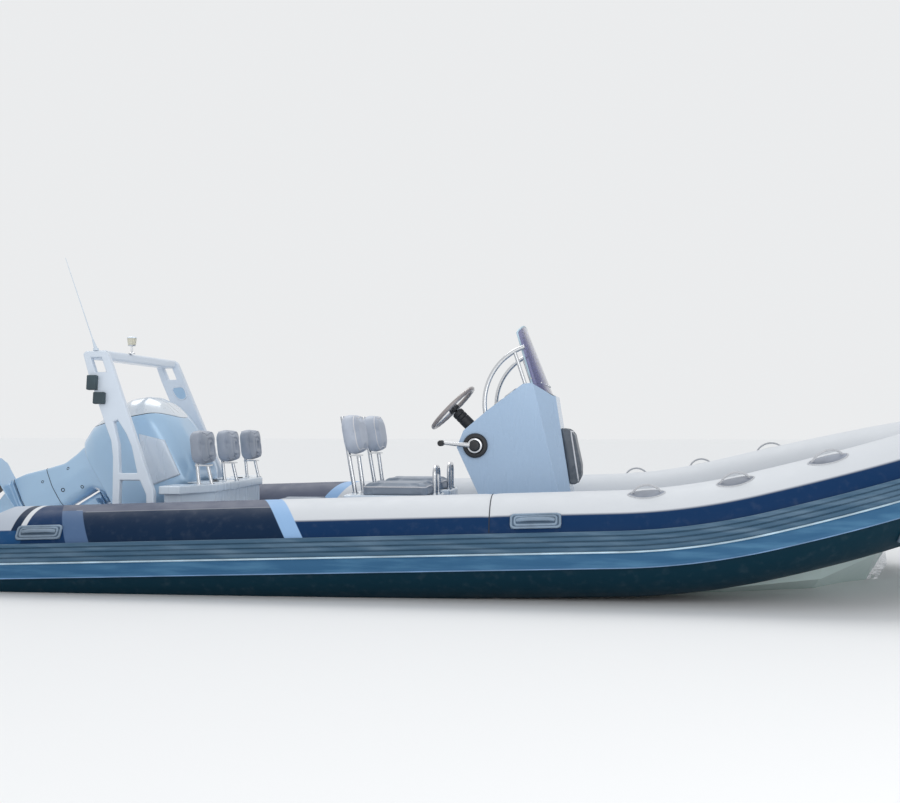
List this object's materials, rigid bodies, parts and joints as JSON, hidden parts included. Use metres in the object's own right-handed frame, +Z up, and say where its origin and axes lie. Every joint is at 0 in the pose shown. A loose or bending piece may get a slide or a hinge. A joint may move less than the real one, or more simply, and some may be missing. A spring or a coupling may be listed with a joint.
{
  "type": "inflatable rib boat with outboard motor",
  "caption": "Open rigid inflatable boat with a sit-astride helm behind a console, jockey and stern seats, an arch frame and a tilted outboard motor.",
  "frame": {"origin": "on the centreline at the height of the water, amidships", "axes": "+X towards the bow, +Y to port, +Z up; the boat floats two degrees bow-up"},
  "size_m": [6.2377, 2.4706, 2.2218],
  "materials": {
    "tube_fabric": "semi-matt coated fabric",
    "strake_rubber": "ribbed matt rubber",
    "band_rubber": "matt rubber",
    "hull_gelcoat": "glossy gelcoat",
    "deck_gelcoat": "non-slip gelcoat",
    "moulding_gelcoat": "glossy gelcoat",
    "frame_paint": "satin paint",
    "stainless": "polished tube",
    "black_plastic": "fine grain",
    "cushion_vinyl": "soft vinyl",
    "smoked_acrylic": "dark tinted",
    "gauge_face": "gloss bezel",
    "motor_paint": "metallic paint",
    "motor_cap": "metallic paint",
    "propeller_paint": "satin paint",
    "loop_rope": "braided",
    "handle_rubber": "matt rubber",
    "antenna_white": "satin",
    "lamp_plastic": "gloss"
  },
  "bodies": {
    "boat": {"tube_aft_starboard": "tube_fabric", "tube_aft_port": "tube_fabric", "tube_fore_starboard": "tube_fabric", "tube_fore_port": "tube_fabric", "tube_bow": "tube_fabric", "strake_starboard": "strake_rubber", "strake_port": "strake_rubber", "strake_bow": "strake_rubber", "rub_band_starboard": "band_rubber", "rub_band_port": "band_rubber", "rub_band_bow": "band_rubber", "hull": "hull_gelcoat", "deck": "deck_gelcoat", "transom": "moulding_gelcoat", "aft_unit": "moulding_gelcoat", "stern_seat_base": "moulding_gelcoat", "jockey_pod_starboard": "moulding_gelcoat", "jockey_pod_port": "moulding_gelcoat", "console": "moulding_gelcoat", "front_seat_base": "moulding_gelcoat", "frame_side_starboard": "frame_paint", "frame_side_port": "frame_paint", "frame_crossbar": "frame_paint", "stern_back_frames": "stainless", "jockey_frames": "stainless", "grab_rails": "stainless", "console_rails": "stainless", "stem_fitting": "stainless", "deck_bollard": "stainless", "frame_boxes": "black_plastic", "dash_panel": "black_plastic", "helm_column": "black_plastic", "throttle_base": "black_plastic", "throttle_lever": "black_plastic", "stern_back_starboard": "cushion_vinyl", "stern_back_middle": "cushion_vinyl", "stern_back_port": "cushion_vinyl", "jockey_cushion_starboard": "cushion_vinyl", "jockey_back_starboard": "cushion_vinyl", "jockey_cushion_port": "cushion_vinyl", "jockey_back_port": "cushion_vinyl", "front_cushion": "cushion_vinyl", "front_seat_cushion": "cushion_vinyl", "windscreen": "smoked_acrylic", "gauges": "gauge_face", "clamp_bracket": "motor_paint", "bow_loops": "loop_rope", "lift_handles": "handle_rubber", "antenna": "antenna_white", "mast_light": "lamp_plastic"},
    "seat_lid": {"stern_seat_lid": "moulding_gelcoat", "stern_seat_cushion": "cushion_vinyl"},
    "steering_wheel": {"steering_wheel": "black_plastic"},
    "motor_swivel": {"swivel_bracket": "motor_paint"},
    "motor_leg": {"midsection": "motor_paint", "gearcase": "motor_paint", "cowl": "motor_paint", "cowl_cap": "motor_cap"},
    "propeller": {"propeller": "propeller_paint"}
  },
  "joints": [
    {"name": "motor_tilt", "type": "hinge", "parent": "boat", "child": "motor_swivel", "pos_m": [-2.32, 0, 0.302], "axis": [0, 1, 0], "range_deg": [-59, 3]},
    {"name": "motor_steer", "type": "hinge", "parent": "motor_swivel", "child": "motor_leg", "pos_m": [-2.39726, 0, 0.43058], "axis": [0.8572, 0, 0.515], "range_deg": [-30, 30]},
    {"name": "propeller_spin", "type": "hinge", "parent": "motor_leg", "child": "propeller", "pos_m": [-3.22439, 0, 0.4189], "axis": [0.515, 0, -0.8572], "continuous": true},
    {"name": "wheel_turn", "type": "hinge", "parent": "boat", "child": "steering_wheel", "pos_m": [-0.199, 0, 0.975], "axis": [0.7071, 0, -0.7071], "range_deg": [-540, 540]},
    {"name": "seat_lid_hinge", "type": "hinge", "parent": "boat", "child": "seat_lid", "pos_m": [-1.44, 0, 0.3003], "axis": [0, -1, 0], "range_deg": [0, 60]}
  ],
  "couplings": [
    {"joint": "wheel_turn", "follows": "motor_steer", "ratio": 18}
  ]
}
